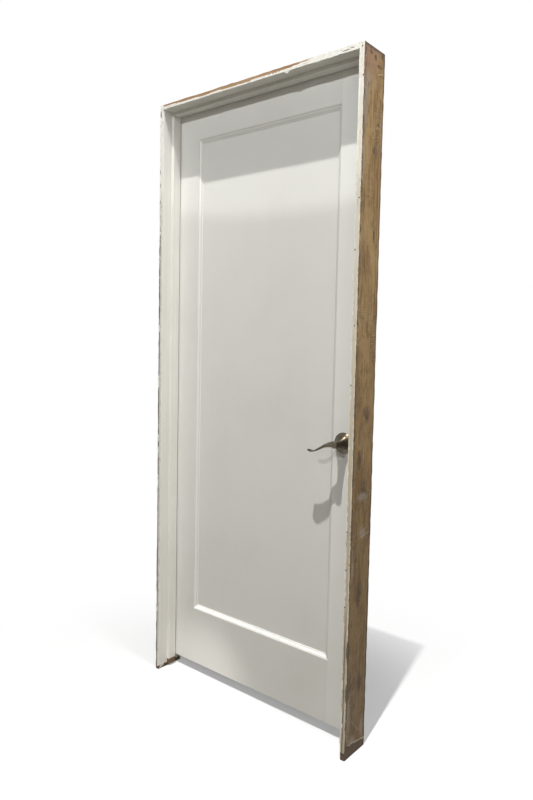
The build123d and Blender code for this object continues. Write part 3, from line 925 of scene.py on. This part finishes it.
screwLook = {
    "radius": 0.0042, "rim": 0.0006, "proud": 0.0003, "slotHalf": 0.0005, "slotReach": 0.0022, "slotDeep": 0.0009,
    "coneDeep": 0.0016, "coneShare": 0.6,
    # on a hinge leaf: its middle line from the jamb's back, and depth and height of each screw from its middle
    "leafMiddle": 0.0155,
    "leafPlaces": ((-0.006, 0.031), (0.004, 0.0), (-0.006, -0.031)),
    "plateHalf": 0.0205,
}


def screwHead(work, place, way, spin):
    # a cross-recessed head, nearly flush with its plate
    part = bmesh.new()
    bmesh.ops.create_circle(part, cap_ends=True, segments=24, radius=screwLook["radius"])
    bmesh.ops.inset_region(part, faces=part.faces[:], thickness=screwLook["rim"], depth=0.0)
    for axis in (0, 1):
        for reach in (screwLook["slotHalf"], screwLook["slotReach"]):
            sliceAlong(part, axis, (-reach, reach))
    arms = []
    for face in part.faces:
        centre = face.calc_center_median()
        near, far = sorted((abs(centre.x), abs(centre.y)))
        if near < screwLook["slotHalf"] and far < screwLook["slotReach"]:
            arms.append(face)
    sunk = bmesh.ops.extrude_face_region(part, geom=arms)["geom"]
    bmesh.ops.delete(part, geom=arms, context="FACES_ONLY")
    bmesh.ops.translate(part, vec=(0, 0, -screwLook["slotDeep"]), verts=ofKind(sunk, bmesh.types.BMVert))
    cone = bmesh.ops.extrude_edge_only(part, edges=[edge for edge in part.edges if edge.is_boundary])["geom"]
    low = ofKind(cone, bmesh.types.BMVert)
    bmesh.ops.translate(part, vec=(0, 0, -screwLook["coneDeep"]), verts=low)
    bmesh.ops.scale(part, vec=(screwLook["coneShare"], screwLook["coneShare"], 1), verts=low)
    bmesh.ops.contextual_create(part, geom=[edge for edge in part.edges if edge.is_boundary])
    facesOut(part)
    setDown(part, turnTo(way) @ Matrix.Rotation(spin, 3, "Z"), place)
    mesh = meshFrom(part, "screwPart")
    work.from_mesh(mesh)
    bpy.data.meshes.remove(mesh)


def screwSet(name, body, faceX, side, places):
    # side is the way along X in which the heads face
    work = bmesh.new()
    for index, (y, z) in enumerate(places):
        screwHead(work, (faceX + side * screwLook["proud"], y, z), Vector((side, 0, 0)), 0.4 + index * 1.1)
    newPiece(name, work, body, hingeMetal)


for level in ("top", "middle", "bottom"):
    low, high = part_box(level + "_hinge_jamb_leaf")
    leafY, middle = backY - screwLook["leafMiddle"], (low.z + high.z) / 2
    places = [(leafY + deep, middle + up) for deep, up in screwLook["leafPlaces"]]
    screwSet(level + "HingeJambScrews", "frame", hingeHigh.x, 1, places)
    screwSet(level + "HingeDoorScrews", "leaf", leafLow.x, -1, places)
low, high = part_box("strike_plate")
leafY, middle = (leafLow.y + leafHigh.y) / 2, (low.z + high.z) / 2
places = [(leafY, middle + side * screwLook["plateHalf"]) for side in (-1, 1)]
screwSet("strikeScrews", "frame", jambLow.x, -1, places)
screwSet("faceplateScrews", "leaf", leafHigh.x, 1, places)
print("screws made")

# handles, turned and drawn finer than the solids; reach is measured from the door's face

leverLook = {
    "neckFront": 0.011, "neckBase": 0.024, "neckLength": 0.058,
    "flareFrom": 0.044, "flareTo": 0.0104, "flarePower": 2.4, "flareSteps": 16,
    "shank": 0.0095, "nose": 0.002, "pinHole": 0.0023, "pinDeep": 0.012,
    # along the grip: distance from the axis, height, half height, back reach, front reach
    "grip": (
        (0.0, 0.0, 0.0103, 0.0400, 0.0570), (0.011, -0.0002, 0.0094, 0.0402, 0.0572),
        (0.022, -0.0022, 0.0076, 0.0426, 0.0598), (0.034, -0.0064, 0.0056, 0.0441, 0.0625),
        (0.046, -0.0128, 0.0041, 0.0449, 0.0639), (0.058, -0.0196, 0.0031, 0.0453, 0.0650),
        (0.070, -0.0256, 0.0023, 0.0455, 0.0656), (0.081, -0.0278, 0.0024, 0.0458, 0.0656),
        (0.089, -0.0268, 0.0030, 0.0466, 0.0640), (0.0940, -0.0258, 0.0029, 0.0472, 0.0625),
        (0.0966, -0.0254, 0.0021, 0.0482, 0.0608), (0.0974, -0.0253, 0.0008, 0.0500, 0.0590),
    ),
    "between": 4, "round": 20, "square": 0.72,
}
roseLook = {
    "bore": 0.0096, "radius": 0.033, "rim": 0.0035, "height": 0.010, "crown": 0.0205, "edge": 0.0006, "steps": 12,
}
turnSteps = 72
handleSharp = 38


def turned(work, outline):
    # a closed turned body about the lever's axis, from radius and reach
    before = set(work.verts)
    points = [work.verts.new((radius, reach, 0)) for radius, reach in outline]
    edges = [work.edges.new(pair) for pair in zip(points, points[1:])]
    bmesh.ops.spin(work, geom=points + edges, cent=(0, 0, 0), axis=(0, 1, 0), angle=2 * math.pi,
                   steps=turnSteps, use_merge=True)
    made = [vertex for vertex in work.verts if vertex not in before]
    bmesh.ops.remove_doubles(work, verts=made, dist=0.000001)


def between(rows, part):
    # a smooth path through the rows
    index = min(int(part), len(rows) - 2)
    local = part - index
    first, last = rows[max(index - 1, 0)], rows[min(index + 2, len(rows) - 1)]
    values = []
    for before, low, high, after in zip(first, rows[index], rows[index + 1], last):
        curve = 2 * low + (high - before) * local + (2 * before - 5 * low + 4 * high - after) * local ** 2
        values.append((curve + (3 * low - before - 3 * high + after) * local ** 3) / 2)
    return values


def grip(work):
    # squarish rings along the grip, closed at both ends
    rows = leverLook["grip"]
    count = (len(rows) - 1) * leverLook["between"]
    rings = []
    for step in range(count + 1):
        along, height, half, back, front = between(rows, step / leverLook["between"])
        ring = []
        for index in range(leverLook["round"]):
            turn = 2 * math.pi * index / leverLook["round"]
            across, upward = (math.copysign(abs(value) ** leverLook["square"], value)
                              for value in (math.cos(turn), math.sin(turn)))
            reach = (back + front) / 2 + across * (front - back) / 2
            ring.append(work.verts.new((-along, reach, height + upward * half)))
        rings.append(ring)
    for one, other in zip(rings, rings[1:]):
        for index in range(len(one)):
            following = (index + 1) % len(one)
            work.faces.new((one[index], one[following], other[following], other[index]))
    work.faces.new(rings[0])
    work.faces.new(rings[-1])


def neckOutline(pinned):
    look = leverLook
    outline = [(0, look["neckLength"])]
    if pinned:
        deep = look["neckLength"] - look["pinDeep"]
        outline = [(0, deep), (look["pinHole"], deep), (look["pinHole"], look["neckLength"])]
    for degrees in (0, 22.5, 45, 67.5, 90):
        turn = math.radians(degrees)
        inner, under = look["nose"] * (1 - math.sin(turn)), look["nose"] * (1 - math.cos(turn))
        outline.append((look["neckFront"] - inner, look["neckLength"] - under))
    for step in range(look["flareSteps"] + 1):
        part = step / look["flareSteps"]
        radius = look["neckFront"] + (look["neckBase"] - look["neckFront"]) * part ** look["flarePower"]
        outline.append((radius, look["flareFrom"] + (look["flareTo"] - look["flareFrom"]) * part))
    return outline + [(look["shank"], look["flareTo"]), (look["shank"], 0.001), (0, 0.001)]


def roseOutline():
    look = roseLook
    outline = [(look["bore"], 0.0001), (look["radius"], 0.0001), (look["radius"], look["rim"] - look["edge"])]
    for step in range(look["steps"] + 1):
        part = step / look["steps"]
        rise = look["rim"] + (look["height"] - look["rim"]) * (1 - (1 - part) ** 2)
        outline.append((look["radius"] + part * (look["crown"] - look["radius"]) - look["edge"] * (1 - part), rise))
    return outline + [(look["bore"], look["height"]), (look["bore"], 0.0001)]


def placeOnFace(work, side):
    # puts a body that was drawn about the lever's axis on the door's front or back
    facesOut(work)
    sign = -1 if side == "front" else 1
    for vertex in work.verts:
        vertex.co.y *= sign
    if sign < 0:
        bmesh.ops.reverse_faces(work, faces=work.faces)
    low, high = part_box(side + "_rose")
    faceY = high.y if sign < 0 else low.y
    bmesh.ops.translate(work, vec=((low.x + high.x) / 2, faceY, (low.z + high.z) / 2), verts=work.verts)


for side in ("front", "back"):
    work = bmesh.new()
    turned(work, neckOutline(side == "front"))
    grip(work)
    placeOnFace(work, side)
    newPiece(side + "LeverSmooth", work, "levers", satinNickel, (side + "_lever",), handleSharp)
    work = bmesh.new()
    turned(work, roseOutline())
    placeOnFace(work, side)
    newPiece(side + "RoseSmooth", work, "leaf", satinNickel, (side + "_rose",), handleSharp)
print("handles made")

# camera

cameraLook = {
    "place": (1.86295, -1.69326, 1.24196),
    "yaw": 39.592,
    "pitch": -3.914,
    "roll": 1.117,
    "lens": 29.401,
    "sensor": 36.0,
    "shift": (0.00481, -0.01709),
}


def makeCamera():
    data = bpy.data.cameras.new("camera")
    camera = addObject("camera", data)
    yaw, pitch, roll = (math.radians(cameraLook[key]) for key in ("yaw", "pitch", "roll"))
    forward = Vector((-math.sin(yaw) * math.cos(pitch), math.cos(yaw) * math.cos(pitch), math.sin(pitch)))
    right = forward.cross(Vector((0, 0, 1))).normalized()
    up = right.cross(forward)
    turned = Matrix.Rotation(-roll, 3, forward)
    right, up = turned @ right, turned @ up
    rotation = Matrix((right, up, -forward)).transposed()
    camera.matrix_world = Matrix.Translation(cameraLook["place"]) @ rotation.to_4x4()
    data.lens = cameraLook["lens"]
    data.sensor_width = cameraLook["sensor"]
    data.shift_x, data.shift_y = cameraLook["shift"]
    scene.camera = camera


makeCamera()

# floor, backdrop light and lamps

stageLook = {
    "floorSize": 30.0,
    "floorSeen": colour(0.66, 0.665, 0.68),
    "floorGlow": 0.23,
    "floorBounce": colour(0.15, 0.13, 0.10),
    "whiteFrom": 0.35,
    "whiteTo": 1.25,
    "fillTint": colour(0.97, 0.985, 1.0),
    "fillStrength": 0.02,
}


def seenDirectly(tree):
    # what the camera sees straight away or in a reflection
    path = addNode(tree, "LightPath").outputs
    return combine([Wire(tree, path[way]) for way in ("Is Camera Ray", "Is Glossy Ray", "Is Transmission Ray")])


def mixShaders(share, first, second):
    return wireFrom(share.tree, "MixShader", {0: share, 1: first, 2: second})


def floorMaterial():
    # pale round the feet and white farther off; it throws little light back
    material, coords = newMaterial("paleFloor")
    tree = coords.tree
    away = vectorNode(tree, "DISTANCE", coords, ((jambHigh.x + hingeLow.x) / 2, 0, footZ), "Value")
    near = wireFrom(tree, "BsdfDiffuse", {"Color": stageLook["floorSeen"]})
    glow = wireFrom(tree, "Emission", {"Color": grey(1), "Strength": stageLook["floorGlow"]})
    white = wireFrom(tree, "Emission", {"Color": grey(1), "Strength": 1.0})
    bounce = wireFrom(tree, "BsdfDiffuse", {"Color": stageLook["floorBounce"]})
    lifted = wireFrom(tree, "AddShader", {0: near, 1: glow})
    shown = mixShaders(away.ramp(stageLook["whiteFrom"], stageLook["whiteTo"]), lifted, white)
    addNode(tree, "OutputMaterial", {"Surface": mixShaders(seenDirectly(tree), bounce, shown)})
    return material


def makeFloor():
    work = bmesh.new()
    bmesh.ops.create_grid(work, x_segments=2, y_segments=2, size=stageLook["floorSize"])
    bmesh.ops.translate(work, vec=(0, 0, footZ), verts=work.verts)
    floor = addObject("floor", meshFrom(work, "floor"))
    floor.data.materials.append(floorMaterial())


def makeWorld():
    world = bpy.data.worlds.new("studio")
    scene.world = world
    world.use_nodes = True
    tree = world.node_tree
    tree.nodes.clear()
    lit = wireFrom(tree, "Background", {"Color": stageLook["fillTint"], "Strength": stageLook["fillStrength"]})
    white = wireFrom(tree, "Background", {"Color": grey(1), "Strength": 1.0})
    addNode(tree, "OutputWorld", {"Surface": mixShaders(seenDirectly(tree), lit, white)})


makeFloor()
makeWorld()

lampLook = {
    # place, aim, level, radius, angle, blend and tint
    "key": ((1.44, -2.7, 9.74), (0.5, 0, 1.0), 1.19, 0.07, 170, 0.1, (1.0, 0.99, 0.955)),
    # without an aim: it lights only what is above upperEdge
    "upper": ((0.95, -4.3, 3.75), None, 0.185, 0.03, 75, 0.02, (0.95, 0.98, 1.0)),
    "front": ((0.95, -4.3, 3.75), (0.5, 0, 1.2), 0.19, 0.03, 120, 1.0, (0.97, 0.99, 0.98)),
    "near": ((1.5, -1.6, 1.1), (0.7, 0, 1.0), 0.035, 0.4, 130, 1.0, (1.0, 0.99, 0.95)),
    "foot": ((0.22, -0.42, -0.01), (0.185, 0.023, -0.04), 0.040, 0.05, 64, 0.9, (1.0, 0.975, 0.93)),
    "back": ((-1.3, 4.6, 1.0), (0.43, 0.05, 1.35), 0.22, 0.9, 60, 1.0, (1.0, 0.99, 0.97)),
    "sideLow": ((3.2, -2.2, 2.3), (0.4, 0, 1.4), 0.12, 0.8, 120, 1.0, (1.0, 0.99, 0.96)),
    "edge": ((3.6, -0.5, 3.6), (0.0, -0.03, 1.4), 0.42, 0.5, 120, 1.0, (1.0, 0.99, 0.97)),
}
upperEdge = (Vector((0.0354, 0.023, 1.700)), Vector((0.7458, 0.023, 1.655)))
litMiddle = Vector(((leafLow.x + leafHigh.x) / 2, 0, 1.4))


def aimAbove(place, ends, angle):
    # turns a spot so that its cone's lower edge passes through both ends
    first, second = ((end - place).normalized() for end in ends)
    middle = (first + second).normalized()
    upward = (first - second).cross(middle).normalized()
    if upward.z < 0:
        upward.negate()
    turn = math.acos(math.cos(angle / 2) / middle.dot(first))
    return place + middle * math.cos(turn) + upward * math.sin(turn)


def makeLamp(name, place, aim, level, radius, angle, blend, tint):
    # level is the light that arrives at litMiddle
    data = bpy.data.lights.new(name, "SPOT")
    data.shadow_soft_size = radius
    data.spot_size = math.radians(angle)
    data.spot_blend = blend
    data.color = tint
    place = Vector(place)
    aim = Vector(aim) if aim else aimAbove(place, upperEdge, data.spot_size)
    reach = (litMiddle - place).length
    data.energy = level * 4 * math.pi * math.pi * reach * reach
    lamp = addObject(name, data)
    lamp.location = place
    lamp.rotation_euler = (aim - place).to_track_quat("-Z", "Y").to_euler()


for name, settings in lampLook.items():
    makeLamp(name + "Lamp", *settings)
scene.view_settings.view_transform = "Standard"
print("camera, floor and lamps made")
